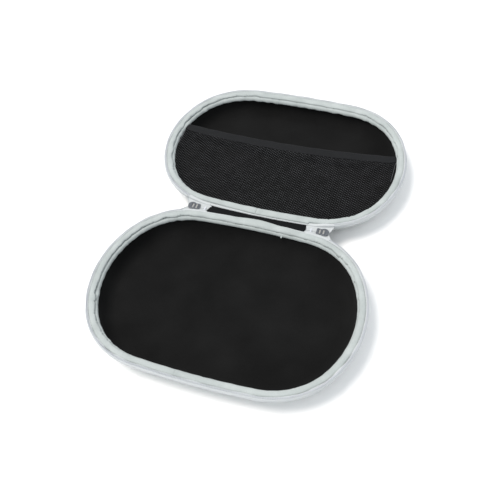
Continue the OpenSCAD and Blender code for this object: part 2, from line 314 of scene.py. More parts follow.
# Extruded nylon: milky, slightly cloudy, with a soft gloss
def extrudedNylon(name, colours):
    material, tree, shader = newMaterial(name, {"Roughness": 0.35, "IOR": 1.53})
    place = addNode(tree, "ShaderNodeTexCoord").outputs["Object"]
    cloud = addNode(tree, "ShaderNodeTexNoise", {}, {"Vector": place, "Scale": perMm(9), "Detail": 3.0})
    dress(tree, shader, cloud, colours)
    return material


# Net of warp-knit yarns: each knot, where two yarns meet, catches more light than the legs between
def knitNetPaintedKnots(name, colours, pitchMm, fromMm):
    material, tree, shader = newMaterial(name, {"Roughness": 0.65, "IOR": 1.5, "Specular IOR Level": 0.3})
    place = addNode(tree, "ShaderNodeTexCoord").outputs["Object"]
    parts = addNode(tree, "ShaderNodeSeparateXYZ", {}, {"Vector": place})
    shifted = addNode(tree, "ShaderNodeMath", {"operation": "ADD"}, {0: parts.outputs["X"], 1: fromMm * mm})
    fromLeg = addNode(tree, "ShaderNodeMath", {"operation": "PINGPONG"},
                      {0: shifted, 1: pitchMm / 2 * mm})
    # painted highlight: the tone rises towards each knot
    knotHighlight = addNode(tree, "ShaderNodeMapRange", {},
                   {"Value": fromLeg, "From Min": pitchMm * 0.16 * mm,
                    "From Max": pitchMm * 0.5 * mm})
    patchy = addNode(tree, "ShaderNodeTexNoise", {}, {"Vector": place, "Scale": perMm(9), "Detail": 4.0})
    mixed = addNode(tree, "ShaderNodeMath", {"operation": "MULTIPLY"},
                    {0: knotHighlight, 1: patchy})
    fibres = addNode(tree, "ShaderNodeTexNoise", {}, {"Vector": place, "Scale": perMm(0.3), "Detail": 3.0})
    dress(tree, shader, mixed, colours, fibres, 0.5, 0.05)
    return material


# outside skin: near white, a little patchy, softly shining
coverCloth = coatedCloth("polyurethane_coated_polyester", ("#b8bcbc", "#c1c5c3"))
# padded rim: pale grey green, matt with a faint nap
bindingCloth = brushedCloth("brushed_polyester_binding", ("#a0a7a6", "#b7bdbc"), 0.8, 16, 0.2, 0.85, 0.12)
# inside: black, quite matt, clouded where the nap lies another way
liningCloth = brushedCloth("brushed_knit_lining", ("#0a0a0a", "#171717"), 0.9, 45, 0.02)
# zip tape: white, small herringbone ribs, drawn a little coarser than woven so that they show
zipTapeCloth = wovenTape("herringbone_polyester_zip_tape", ("#bcc0c2", "#ccd0d0"), 1.0, 1.6)
# hinge strip: near black, dull ribs
webbingCloth = wovenTape("woven_polypropylene_webbing", ("#08090b", "#121417"), 1.2, 1.5, 0.6, 0.8, 0.03,
                         0.2, 0.15)
# pocket's mouth: black, a shade lighter than the net, fine ribs
bandCloth = wovenTape("folded_nylon_tape", ("#101113", "#1d1e20"), 0.9, 2.2, 0.35, 0.75, 0.06, 0.14, 0.2)
# zip teeth and stops: cool white, glossy enough for small highlights
coilNylon = extrudedNylon("extruded_nylon_coil", ("#bec1c8", "#ced1d7"))
# band's top stitching: black, a little lighter than its tape
blackThread = brushedCloth("black_polyester_thread", ("#1b1c1e", "#2d2e31"), 0.6, 12, 0.1, 0.7, 0.05)
# seam in the binding's crease: grey, a painted shade, so that the crease reads as a dark drawn line
creaseShadeThread = brushedCloth("grey_seam_thread_painted_crease_shade", ("#6d7371", "#8a908f"), 0.5, 8, 0.1, 0.7, 0.05)
# seam beside the zip tape: as pale as the binding
seamThread = brushedCloth("bonded_polyester_thread", ("#9aa3a1", "#b8bebd"), 0.5, 8, 0.2, 0.6, 0.05)
# shell under the cloth: dark grey, matt, closed cells
evaFoam = brushedCloth("moulded_eva_foam", ("#2a2a2c", "#3a3a3c"), 0.7, 20, 0.0, 0.8, 0.1)
# elastic in the band: black, narrow ribs
elasticRubber = wovenTape("braided_elastic", ("#161616", "#2a2a2a"), 0.8, 1.2, 0.5, 0.7, 0.1, 0.15)
# sliders: dark grey metal with a broad, broken shine
sliderZinc = castZinc("gunmetal_plated_zinc", ("#64676b", "#82858a"), 0.42)
# slider windows: brighter and warmer metal, a painted highlight
windowHighlightZinc = castZinc("zinc_painted_window_highlight", ("#a5a4a1", "#bebcb8"), 0.5)
# pulls: bright plated metal
pullZinc = castZinc("nickel_plated_zinc", ("#a9a9ab", "#c8c7c6"), 0.3)
print("materials made")


# Where the wall's surface lies at a height under the rim, at a depth inside the cover
def wallInset(depth, height):
    lean = math.radians(shell["lean"])
    flangeLow = -shell["flangeDrop"]
    return shell["flangeIn"] + depth / math.cos(lean) - (height - flangeLow) * math.tan(lean)


def bowCentre():
    lean = math.radians(shell["lean"])
    tangentZ = shell["bottomR"] * (1 - math.sin(lean)) - rimZ
    return wallInset(0, tangentZ) + shell["bottomR"] * math.cos(lean)


# The wall from a height down to the middle of the floor: inset, height, share of the way out from the middle
def wallLine(depth, top, rows=9, turns=8):
    lean = math.radians(shell["lean"])
    radius = shell["bottomR"] - depth
    tangentZ = shell["bottomR"] - radius * math.sin(lean) - rimZ
    line = [(wallInset(depth, h), h, 1) for h in np.linspace(top, tangentZ, rows, endpoint=False)]
    for k in range(turns + 1):
        a = lean + (math.pi / 2 - lean) * k / turns
        line.append((bowCentre() - radius * math.cos(a), shell["bottomR"] - radius * math.sin(a) - rimZ, 1))
    line += [(bowCentre(), depth - rimZ, share) for share in (0.94, 0.85, 0.72, 0.57, 0.41, 0.24, 0.1, 0)]
    return line


# A closed bowl from an outer line and an inner one, both running from the rim to the middle
def bowlPiece(name, half, outer, inner, material, shape, stations=420):
    distance = np.linspace(0, perimeter, stations, endpoint=False)
    section = np.array(list(reversed(outer)) + list(inner), float)
    inset, height = shape(distance, *sectionRows(section, stations))
    point, normal = outlineAt(distance)
    flat = (point[:, None, :] - normal[:, None, :] * inset[..., None]) * section[None, :, 2, None]
    height = height + floorRipple(flat) * (section[None, :, 2] < 1)
    verts = placeHalf(half, np.concatenate([flat, (rimZ + height)[..., None]], 2))
    faces = gridFaces(stations, len(section), True, False)
    return makePiece(name, verts.reshape(-1, 3), faces, material, flat.reshape(-1, 2), merge=0.02)


# Slight rise and fall of a glued floor
def floorRipple(flat, amount=0.088):
    x, y = flat[..., 0], flat[..., 1]
    return amount * (1.6 + np.sin(x / 17 + 0.7) * np.cos(y / 13) + 0.6 * np.sin(x / 9 - y / 11))


# Coated cloth over the outside of the shell, turned in under the zip tape
cover = {"thickness": 1.0, "edge": 0.9, "pucker": 0.35, "puckerMm": 6, "softness": 0.12}


def makeCover(half, seed):
    def shape(distance, inset, height):
        fold = gathers(distance, cover["puckerMm"], seed)[:, None] * cover["pucker"]
        soft = ripple(distance, 70, cover["softness"], seed + 3)[:, None]
        return inset + bell(height, -5.4, 2.2) * fold + soft * (height > -20), height
    top, low, out = -shell["flangeTopDrop"], -shell["flangeDrop"], cover["edge"]
    edge = [(out + 0.4, top, 1), (out, top - 0.5, 1), (out + 0.12, low + 1.5, 1), (out + 0.5, low + 0.5, 1),
            (out + 1.1, low, 1), (3.4, low, 1), (4.4, low - 0.12, 1)]
    outer = edge + wallLine(0, low - 0.5)
    inner = [(out + 1, top, 1), (out + 1, low + 1, 1), (5, low + 1, 1)]
    inner += wallLine(cover["thickness"], low - 0.3)
    return bowlPiece(half + "_cover_cloth", half, outer, inner, coverCloth, shape)


# Brushed cloth on the inside of the shell, between two depths from the outside
lining = {"from": 5.1, "to": 6.0, "top": -2.2, "softness": 0.18}


def makeLining(half, seed):
    def shape(distance, inset, height):
        bow = ripple(distance, 46, lining["softness"], seed)[:, None] * np.clip((-height - 4) / 8, 0, 1)
        return inset + bow, height
    return bowlPiece(half + "_brushed_lining", half, wallLine(lining["from"], lining["top"]),
                     wallLine(lining["to"], lining["top"]), liningCloth, shape)


# Padded binding over the rim
binding = {"stations": 1150, "gatherMm": 8.2, "gatherDepth": 3.3, "hemWave": 0.2, "loft": 0.22,
           "creaseWander": 0.55, "shallow": 0.55, "pinkedMm": 3.4, "seamMm": 0.32, "widerFarSide": 1.8}
# its section: from under the tape over the padded top to the crease (13), then the lip down the wall
bindingLine = [(4.0, -1.5), (3.7, -0.5), (3.5, 0.6), (3.85, 1.1), (4.8, 1.45), (6.0, 1.64), (7.3, 1.64),
               (8.5, 1.52), (9.5, 1.15), (10.2, 0.55), (10.5, -0.1), (10.4, -0.7), (10.15, -1.1),
               (9.95, -1.35), (10.5, -1.15), (11.2, -1.15), (12.0, -1.65), (12.6, -2.6), (12.95, -3.6),
               (13.0, -4.4), (12.8, -4.9), (12.3, -4.9), (11.5, -4.1), (10.2, -2.6), (9.2, -1.75),
               (6.6, -1.7)]
bindingLine = np.array(bindingLine)
pitColumn = 13


# 1 at the middle of the hinge side, 0 far from it
def hingeSide(distance, spread=95):
    away = np.minimum(np.mod(distance, perimeter), perimeter - np.mod(distance, perimeter))
    return np.exp(-(away / spread) ** 4)


# 1 round the four corners, where the binding is gathered hardest
def atCorners(distance):
    point, normal = outlineAt(distance)
    return np.clip(np.abs(normal[:, 0] * normal[:, 1]) * 2.8 - normal[:, 0] * 0.3, 0.1, 1)


def makeBinding(half, seed):
    distance = np.linspace(0, perimeter, binding["stations"], endpoint=False)
    rows = len(distance)
    inset, height = sectionRows(bindingLine, rows)
    column = np.arange(len(bindingLine))
    corner = atCorners(distance)
    point, normal = outlineAt(distance)
    pull = (gathers(distance, binding["gatherMm"], seed) * corner)[:, None]
    fine = gathers(distance, binding["gatherMm"] * 0.55, seed + 9)[:, None]
    # the crease is shallower at the front and on the right
    plainSide = np.maximum(-normal[:, 1] - 0.55, normal[:, 0] * 0.9 - 0.45) / 0.45
    plain = binding["shallow"] * np.clip(plainSide, 0, 1)
    crease, crown = bell(column, 12, 3.0)[None], bell(column, 6, 3.2)[None]
    outerEdge, hem = bell(column, 2, 1.6)[None], bell(column, 20, 2.0)[None]
    lip = ((column > 14) & (column < 22))[None]
    # the seam draws the crease in, hardest where the cloth is gathered
    inset += crease * (1.0 * hingeSide(distance) - 0.75)[:, None]
    wander = ripple(distance, 30, binding["creaseWander"], seed + 2) * (0.35 + 0.65 * corner)
    inset += crease * (wander[:, None] - pull * binding["gatherDepth"])
    height -= crease * pull * binding["gatherDepth"] * 0.8 * (column < 14)[None]
    height += bell(column, 13, 1.2)[None] * (plain * 1.3)[:, None]
    # the outer edge swells over the hinge strip, the top is uneven where the padding is
    swell = np.array([1.7, 1.7, 1.6, 1.0] + [0] * 22)
    inset -= ((column < 4) * swell)[None] * hingeEdge(half, point)[:, None]
    inset += outerEdge * fine * 0.22
    height += crown * ripple(distance, 34, binding["loft"], seed + 4)[:, None]
    height -= crown * fine * 0.1 * corner[:, None]
    # the lip waves, shows more or less of itself round the half, and ends in a finely notched edge
    calm = (1 - 0.8 * hingeSide(distance, 75))[:, None]
    height += hem * ripple(distance, 16, binding["hemWave"], seed + 5)[:, None] * calm
    inset += hem * ripple(distance, binding["pinkedMm"], 0.13, seed + 8)[:, None] * calm
    inset += lip * (ripple(distance, 15, 0.14, seed + 6)[:, None] * calm + pull * 0.3)
    share = (column >= 15) & (column <= 22)
    reach = lipReach(half, normal)[:, None]
    inset = np.where(share[None], 10.2 + (inset - 10.2) * reach, inset)
    height = np.where(share[None], -1.3 + (height + 1.3) * (0.4 + 0.6 * reach), height)
    if half == "lid":
        wide = binding["widerFarSide"] * np.clip(-normal[:, 1], 0, 1) ** 3
        inset += wide[:, None] * np.interp(column, (0, 4, 10, 22, 24), (0, 0.1, 1, 1, 0))[None]
    height -= bell(distance, joinAt(half), 0.7)[:, None] * crown * 0.8
    piece = sweepPiece(half + "_rim_binding_padded", half, distance, inset, height, bindingCloth)
    # the seam's thread lies in the crease, its grey a painted shade of the crease, and on the lid another of
    # the same grey closes the join across the top
    pit = point - normal * (inset[:, pitColumn] + 0.75)[:, None]
    sink = ripple(distance, 12, 0.3, seed + 12) - 0.25 - plain
    lines = [placeHalf(half, np.column_stack([pit, rimZ + height[:, pitColumn] + np.minimum(sink, 0.12)]))]
    lines[0] = np.concatenate([lines[0], lines[0][:1]])
    if half == "lid":
        at = int(round((joinAt(half) % perimeter) / perimeter * rows)) % rows
        over = point[at] - normal[at] * inset[at, 3:13, None]
        over = over + [[0.5 * math.sin(k / 2.6), 0] for k in range(10)]
        lines.append(placeHalf(half, np.column_stack([over, rimZ + height[at, 3:13] + 0.05])))
    thread = growAlong(half + "_crease_seam_painted_shade", lines, yarnTree, {"Yarn": binding["seamMm"] * mm, "Sides": 6},
                       creaseShadeThread)
    return piece, thread


# A short end of binding that stands out from under the lip beside the hinge
stub = {"at": 33, "from": 11.6, "long": 2.9, "drop": 3.6, "thick": 0.85}


def makeStub(half):
    point, normal = (v[0] for v in outlineAt([distanceAtX(stub["at"])]))
    steps = np.linspace(0, 1, 5)
    flat = point - normal * (stub["from"] + stub["long"] * steps)[:, None]
    flat = flat + np.column_stack([0.5 * steps ** 2, 0 * steps])
    drop = rimZ - stub["drop"] - 0.5 * steps + 0.5 * np.sin(3 * steps)
    path = placeHalf(half, np.column_stack([flat, drop]))
    return growAlong(half + "_binding_stub", [path], yarnTree, {"Yarn": stub["thick"] * mm, "Sides": 8},
                     bindingCloth)


# How far the lip under the crease shows, as a share; it is drawn in unevenly round each half
def lipReach(half, normal):
    far = normal[:, 1] * (1 if half == "base" else -1)
    farShare = 0.22 if half == "base" else 0.42
    return 0.66 - 0.24 * normal[:, 0] + np.where(far > 0, farShare * far, 0.14 * far)


# How far the padded edge swells over the hinge strip, most just right of the middle on the base
def hingeEdge(half, point):
    x = point[:, 0]
    swell = 1.5 * bell(x, 3, 24) if half == "base" else 0.8 * np.clip((x + 52) / 50, 0, 1)
    near = (point[:, 1] > 0) & (np.abs(x) < webHigh.x / mm + 1)
    return near * (0.12 + swell * 1.25)


# Where the binding's two ends meet: on the lid near the middle of its hinge side, on the base in front
def joinAt(half):
    return perimeter - 3.6 if half == "lid" else perimeter * 0.52


tape = {"wave": 0.22, "lift": 0.16, "rise": 24, "footHeight": -0.9, "shareAtSlider": 0.12}
# section of the tape round the rim: up the outside, over, and back under the coil
tapeLine = [(1.4, -5.4), (0.8, -4.4), (0.32, -3.0), (0.08, -1.6), (0.1, -0.5), (0.32, 0.3), (0.8, 0.9),
            (1.65, 1.1), (2.6, 1.06), (3.15, 0.98), (3.45, 0.8), (3.55, -1.3), (2.6, -1.5), (1.2, -1.55),
            (0.9, -2.2), (1.0, -3.4), (1.3, -4.5), (1.7, -5.35)]
tapeLine = np.array(tapeLine)


# The distance along the outline, from the middle of the hinge side, at which x is reached
def distanceAtX(x):
    trial = np.linspace(0, perimeter / 4, 4000)
    return float(np.interp(x, outlineAt(trial)[0][:, 0], trial))


def makeTapeRing(half, seed):
    start = distanceAtX(notchX)
    distance = np.linspace(start, perimeter - start, 760)
    inset, height = sectionRows(tapeLine, len(distance))
    stand = np.clip((height + 1.6) / 2.6, 0, 1)
    inset += np.clip(ripple(distance, 34, tape["wave"], seed)[:, None], -0.2, 0.4) * stand
    height += ripple(distance, 40, tape["lift"], seed + 1)[:, None] * stand
    fromSlider = np.minimum(distance, perimeter - distance) - start
    rise = eased(np.clip(fromSlider / tape["rise"], 0, 1)[:, None])
    foot, low = tape["footHeight"], tape["shareAtSlider"]
    height = np.where(height > foot, foot + (height - foot) * (low + (1 - low) * rise), height)
    return sweepPiece(half + "_zip_tape_woven", half, distance, inset, height, zipTapeCloth, ring=False)


# The plain tape that covers each half's edge between the sliders
edgeLine = [(0.72, -2.6), (0.7, -1.5), (1.0, -1.0), (1.7, -0.8), (2.7, -0.75), (3.4, -0.85), (3.9, -1.2),
            (3.6, -1.62), (1.6, -1.66), (0.88, -1.7), (0.86, -2.6)]
edgeLine = np.array(edgeLine)


def makeEdgeTape(half, seed):
    reach = distanceAtX(notchX + 0.4)
    distance = np.linspace(-reach, reach, 130)
    inset, height = sectionRows(edgeLine, len(distance))
    height += ripple(distance, 30, 0.12, seed)[:, None] * (edgeLine[:, 1] > -1.3)[None]
    return sweepPiece(half + "_hinge_edge_tape", half, distance, inset, height, zipTapeCloth, ring=False)


# Repeats along paths: a tree with its path, its named sizes and its finish as inputs
def newTree(name, sizes):
    tree = bpy.data.node_groups.new(name, "GeometryNodeTree")
    tree.interface.new_socket(name="Path", in_out="INPUT", socket_type="NodeSocketGeometry")
    for size, value in sizes.items():
        kind = "NodeSocketInt" if isinstance(value, int) else "NodeSocketFloat"
        tree.interface.new_socket(name=size, in_out="INPUT", socket_type=kind)
    tree.interface.new_socket(name="Finish", in_out="INPUT", socket_type="NodeSocketMaterial")
    tree.interface.new_socket(name="Result", in_out="OUTPUT", socket_type="NodeSocketGeometry")
    return tree, addNode(tree, "NodeGroupInput").outputs


def endTree(tree, shape, given):
    real = addNode(tree, "GeometryNodeRealizeInstances", {}, {"Geometry": shape})
    finish = addNode(tree, "GeometryNodeSetMaterial", {}, {"Geometry": real, "Material": given["Finish"]})
    addNode(tree, "NodeGroupOutput", {}, {"Result": finish})


# Round or oval turns of a coil, one every pitch, leaning as the turns of a helix do
def coilTree(sizes):
    tree, given = newTree("coil_turns", sizes)
    curve = addNode(tree, "GeometryNodeMeshToCurve", {}, {"Mesh": given["Path"]})
    upright = addNode(tree, "GeometryNodeSetCurveNormal", {"mode": "Z_UP"}, {"Curve": curve})
    points = addNode(tree, "GeometryNodeCurveToPoints", {"mode": "LENGTH"},
                     {"Curve": upright, "Length": given["Pitch"]})
    turn = addNode(tree, "GeometryNodeCurvePrimitiveCircle", {"mode": "RADIUS"},
                   {"Resolution": 10, "Radius": given["Turn"]})
    wire = addNode(tree, "GeometryNodeCurvePrimitiveCircle", {"mode": "RADIUS"},
                   {"Resolution": 5, "Radius": given["Wire"]})
    ring = addNode(tree, "GeometryNodeCurveToMesh", {}, {"Curve": turn, "Profile Curve": wire})
    placed = addNode(tree, "GeometryNodeInstanceOnPoints", {},
                     {"Points": points, "Instance": ring, "Rotation": points.outputs["Rotation"]})
    lean = addNode(tree, "GeometryNodeRotateInstances", {},
                   {"Instances": placed, "Rotation": (math.radians(14), 0, 0)})
    endTree(tree, lean, given)
    return tree


# Short rounded stitches laid along a path, each turned a little its own way
def stitchTree(sizes):
    tree, given = newTree("stitch_row", sizes)
    curve = addNode(tree, "GeometryNodeMeshToCurve", {}, {"Mesh": given["Path"]})
    points = addNode(tree, "GeometryNodeCurveToPoints", {"mode": "LENGTH"},
                     {"Curve": curve, "Length": given["Pitch"]})
    stitch = addNode(tree, "GeometryNodeMeshUVSphere", {},
                     {"Segments": 6, "Rings": 5, "Radius": given["Thread"]})
    longer = addNode(tree, "ShaderNodeCombineXYZ", {}, {0: 1.0, 1: 1.0, 2: given["Stretch"]})
    stretch = addNode(tree, "GeometryNodeTransform", {}, {"Geometry": stitch, "Scale": longer})
    askew = addNode(tree, "FunctionNodeRandomValue", {"data_type": "FLOAT_VECTOR"})
    askew.inputs[0].default_value, askew.inputs[1].default_value = (-0.16, -0.16, 0), (0.16, 0.16, 0)
    tree.links.new(given["Seed"], askew.inputs["Seed"])
    placed = addNode(tree, "GeometryNodeInstanceOnPoints", {},
                     {"Points": points, "Instance": stretch, "Rotation": points.outputs["Rotation"]})
    turned = addNode(tree, "GeometryNodeRotateInstances", {}, {"Instances": placed, "Rotation": askew})
    endTree(tree, turned, given)
    return tree


# A yarn of a few sides along every path
def yarnTree(sizes):
    tree, given = newTree("net_yarns", sizes)
    curve = addNode(tree, "GeometryNodeMeshToCurve", {}, {"Mesh": given["Path"]})
    yarn = addNode(tree, "GeometryNodeCurvePrimitiveCircle", {"mode": "RADIUS"},
                   {"Resolution": given["Sides"], "Radius": given["Yarn"]})
    tube = addNode(tree, "GeometryNodeCurveToMesh", {},
                   {"Curve": curve, "Profile Curve": yarn, "Fill Caps": True})
    endTree(tree, tube, given)
    return tree


# Runs a tree over paths in mm and keeps the result as a plain mesh
def growAlong(name, paths, makeTree, sizes, material):
    verts, edges = [], []
    for path in paths:
        first = len(verts)
        verts += [tuple(p) for p in np.asarray(path) * mm]
        edges += [(first + i, first + i + 1) for i in range(len(path) - 1)]
    mesh = bpy.data.meshes.new(name)
    mesh.from_pydata(verts, edges, [])
    piece = addObject(name, mesh)
    tree = makeTree(sizes)
    modifier = piece.modifiers.new(name, "NODES")
    modifier.node_group = tree
    for item in tree.interface.items_tree:
        if item.name in sizes:
            modifier[item.identifier] = sizes[item.name]
        elif item.name == "Finish":
            modifier[item.identifier] = material
    seen = piece.evaluated_get(bpy.context.evaluated_depsgraph_get())
    final = bpy.data.meshes.new_from_object(seen)
    piece.modifiers.clear()
    piece.data = final
    final.polygons.foreach_set("use_smooth", [True] * len(final.polygons))
    if not len(final.materials):
        final.materials.append(material)
    return piece


def ringPath(half, start, end, inset, height, step=2.0):
    distance = np.linspace(start, end, int((end - start) / step))
    point, normal = outlineAt(distance)
    flat = point - normal * inset
    return placeHalf(half, np.column_stack([flat, np.full(len(flat), rimZ + height)]))


coil = {"pitchMm": 1.5, "turnMm": 0.66, "wireMm": 0.22, "inset": 1.65, "height": 1.72}
seam = {"pitchMm": 3.2, "threadMm": 0.25, "stretch": 4.4, "inset": 3.52, "height": 0.95, "hingeDrop": 1.5}


def makeCoil(half):
    start = distanceAtX(coilX)
    path = ringPath(half, start, perimeter - start, coil["inset"], coil["height"])
    sizes = {"Pitch": coil["pitchMm"] * mm, "Turn": coil["turnMm"] * mm, "Wire": coil["wireMm"] * mm}
    return growAlong(half + "_zip_coil_turns", [path], coilTree, sizes, coilNylon)


def makeSeam(half, seed):
    path = ringPath(half, 0, perimeter, seam["inset"], seam["height"])
    low = np.clip((notchX + tape["rise"] - np.abs(path[:, 0])) / tape["rise"], 0, 1)
    path[:, 2] -= seam["hingeDrop"] * eased(low * (np.abs(path[:, 1]) < middleY))
    sizes = {"Pitch": seam["pitchMm"] * mm, "Thread": seam["threadMm"] * mm, "Stretch": seam["stretch"],
             "Seed": seed}
    return growAlong(half + "_rim_stitches", [path], stitchTree, sizes, seamThread)


# Both halves
webLow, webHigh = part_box("hinge_web")
notchX = webHigh.x / mm + 0.3
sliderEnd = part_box("slider_right")[1].x / mm
coilX = sliderEnd + 4


def keep(piece, body, slotName, *nodes):
    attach(piece, body)
    if nodes:
        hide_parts(*nodes)
    return piece


# A CAD node that stays as it is gets its real material
def paintNode(node, material):
    mesh = frame["nodes"][node].data
    mesh.materials.clear()
    mesh.materials.append(material)


for half, seed in (("base", 11), ("lid", 47)):
    skin = keep(makeCover(half, seed), half, "coated_cloth", half + "_cover")
    knit = keep(makeLining(half, seed + 1), half, "brushed_lining", half + "_lining")
    pad, creaseSeamShade = makeBinding(half, seed + 2)
    keep(pad, half, "binding", half + "_rim_binding")
    keep(creaseSeamShade, half, "thread")
    keep(makeTapeRing(half, seed + 3), half, "zip_tape", half + "_zip_tape")
    keep(makeCoil(half), half, "zip_coil", half + "_zip_coil")
    keep(makeEdgeTape(half, seed + 5), half, "zip_tape")
    keep(makeSeam(half, seed + 4), half, "thread", half + "_rim_thread")
    paintNode(half + "_foam_shell", evaFoam)
    if half == "base":
        keep(makeStub(half), half, "binding")
    print(half, "half made")


# Net pocket in the lid
pocket = {"pitchMm": 2.45, "rowMm": 1.55, "yarnMm": 0.42, "slackMm": 2.2, "inset": 12.0, "height": -4.2,
          "mouthLeft": 129, "mouthRight": 136, "mouthSag": 6.5, "bandWidth": 11.5, "foldDepth": 0.9}


# The mouth's edge, where the band is folded, at x, in the model's y
def mouthAt(x):
    x = np.asarray(x, float)
    middle = (pocket["mouthLeft"] + pocket["mouthRight"]) / 2
    slope = (pocket["mouthRight"] - pocket["mouthLeft"]) / (2 * halfX)
    return middle + slope * x - pocket["mouthSag"] * (1 - (x / 129) ** 2)


# How far the slack net hangs under its edge, with shallow folds that run to the ends of the band
def netDrop(x, y):
    near = np.clip(1 - (x / 133) ** 2, 0, 1) * np.clip((y - 12) / 40, 0, 1)
    up = np.clip((mouthAt(x) - pocket["bandWidth"] - y) / 60, 0, 1)
    folds = np.sin(np.arctan2(mouthAt(-118) + 4 - y, x + 128) * 17 + 0.6) * bell(x, -95, 42)
    folds = folds + 0.7 * np.sin(np.arctan2(mouthAt(118) + 4 - y, 128 - x) * 15) * bell(x, 100, 38)
    soft = np.sin(x / 31 + 1.1) * np.cos(y / 23)
    hang = near * (pocket["slackMm"] * (0.35 + 0.65 * up) + 0.7 * soft)
    return hang - pocket["foldDepth"] * folds * near ** 0.5


# Where a line that lies inset from the outline runs at x: its side next to the hinge, then the far one
def wallReach(x, inset):
    distance = np.linspace(0, perimeter, 6000)
    point, normal = outlineAt(distance)
    flat = point - normal * inset
    near = flat[flat[:, 1] > 0]
    near = near[np.argsort(near[:, 0])]
    high = np.interp(x, near[:, 0], near[:, 1], left=np.nan, right=np.nan)
    return middleY - high


def wallFar(x, inset):
    return 2 * middleY - wallReach(np.asarray(x, float), inset)


# How far under the folded band the net's edge is caught
bandCover = pocket["bandWidth"] - 4


# Zigzag yarns side by side, each touching its neighbours in turn, laid on the slack surface
def makeNet():
    paths = []
    far = halfX - pocket["inset"] - 0.8
    row = pocket["rowMm"]
    for k, x0 in enumerate(np.arange(-far, far, pocket["pitchMm"])):
        low = wallReach(x0, pocket["inset"])
        if not np.isfinite(low):
            continue
        y = np.arange(math.ceil(low / row), (mouthAt(x0) - bandCover) / row) * row
        swing = (np.round(y / row).astype(int) + k) % 2 * 2 - 1
        x = x0 + swing * pocket["pitchMm"] * 0.47
        inside = (y < wallFar(x, pocket["inset"])) & (np.abs(x) < far)
        z = rimZ + pocket["height"] - netDrop(x, y) + 0.12 * swing
        line = np.column_stack([x, y, z])[inside]
        if len(line) > 3:
            paths.append(line)
    # net: black yarns, each knot painted as a fine grey dot, a painted highlight; the yarns are drawn
    # thicker than knitted so that they show
    netYarnPaintedKnots = knitNetPaintedKnots("warp_knit_net_painted_knot_highlight", ("#070708", "#808286"), pocket["pitchMm"], far)
    sizes = {"Yarn": pocket["yarnMm"] * mm, "Sides": 4}
    return growAlong("pocket_net_yarns", paths, yarnTree, sizes, netYarnPaintedKnots)


# A slab from a grid of points (its top) and a thickness; long edges are rounded, but not one on a seam
def slabPiece(name, top, thickness, material, seamed=False, edgeRound=0.35):
    rows, cols = top.shape[:2]
    across = np.linspace(-1, 1, cols)
    rounding = thickness * edgeRound * ((across if seamed else np.abs(across)) > 0.999)
    upper = top - np.stack([0 * rounding, 0 * rounding, rounding], 1)[None]
    lower = top - np.stack([0 * across, 0 * across, thickness - rounding], 1)[None]
    verts = np.concatenate([upper.reshape(-1, 3), lower.reshape(-1, 3)])
    count = rows * cols
    faces = gridFaces(rows, cols, False, False)
    faces += [tuple(reversed([i + count for i in f])) for f in faces]
    rim = [(i, 0) for i in range(rows)] + [(rows - 1, j) for j in range(1, cols)]
    rim += [(i, cols - 1) for i in range(rows - 2, -1, -1)] + [(0, j) for j in range(cols - 2, 0, -1)]
    loop = [i * cols + j for i, j in rim]
    faces += [(a, b, b + count, a + count) for a, b in zip(loop, loop[1:] + loop[:1])]
    steps = np.linalg.norm(np.diff(top, axis=1), axis=2)
    width = np.concatenate([np.zeros((rows, 1)), np.cumsum(steps, 1)], 1)
    length = np.cumsum(np.linalg.norm(np.diff(top[:, cols // 2], axis=0), axis=1))
    length = np.concatenate([[0], length])
    uv = np.stack([np.repeat(length[:, None], cols, 1), width], 2).reshape(-1, 2)
    return makePiece(name, verts, faces, material, np.concatenate([uv, uv]))


# Section of the folded band: share of its width from the open edge, height; the fold is at share 1
bandLine = [(0, 0), (0.08, 0.12), (0.22, 0.26), (0.5, 0.36), (0.76, 0.26), (0.9, 0.1), (0.97, -0.2),
            (1, -0.75), (0.97, -1.3), (0.9, -1.5), (0.5, -1.5), (0, -1.5), (0, -1.08), (0.5, -1.08),
            (0.88, -1.05), (0.93, -0.75), (0.88, -0.4), (0.5, -0.1), (0, -0.4)]


# Points of a strip along the mouth: stations x (share of the width, height over the band's own line)
def alongMouth(section, rows=260):
    reach = halfX - pocket["inset"] - 0.6
    x = np.linspace(-reach, reach, rows)
    slope = np.gradient(mouthAt(x), x)
    length = np.sqrt(1 + slope ** 2)
    width = pocket["bandWidth"] - 1.6 * bell(np.abs(x), reach, 9)
    wave = 0.35 * np.sin(x / 5.1 + 0.6 * np.sin(x / 17)) + 0.2 * np.sin(x / 2.9 + 2)
    sag = 2.0 * np.clip(1 - (x / reach) ** 2, 0, 1)
    base = rimZ + pocket["height"] + 1.2 - sag * 0.5
    columns = []
    for share, height in section:
        edge = abs(2 * share - 1) ** 3 * wave * 0.4
        back = (share - 1) * width + edge
        columns.append((x - slope / length * back, mouthAt(x) + back / length,
                        base + height + edge - (1 - share) * sag * 0.4))
    return np.transpose(columns, (2, 0, 1))


# The band: one tape folded round the mouth's edge, both its own edges on the net
def makeBand():
    grid = alongMouth(bandLine)
    rows, cols = grid.shape[:2]
    faces = gridFaces(rows, cols, False, True)
    faces += [tuple(range(cols)), tuple(range((rows - 1) * cols, rows * cols))]
    steps = [math.hypot((b[0] - a[0]) * pocket["bandWidth"], b[1] - a[1])
             for a, b in zip(bandLine, bandLine[1:])]
    across = np.cumsum([0] + steps)
    uvs = np.stack([grid[..., 0], np.repeat(across[None], rows, 0)], 2)
    return makePiece("pocket_band_tape", grid.reshape(-1, 3), faces, bandCloth, uvs.reshape(-1, 2))


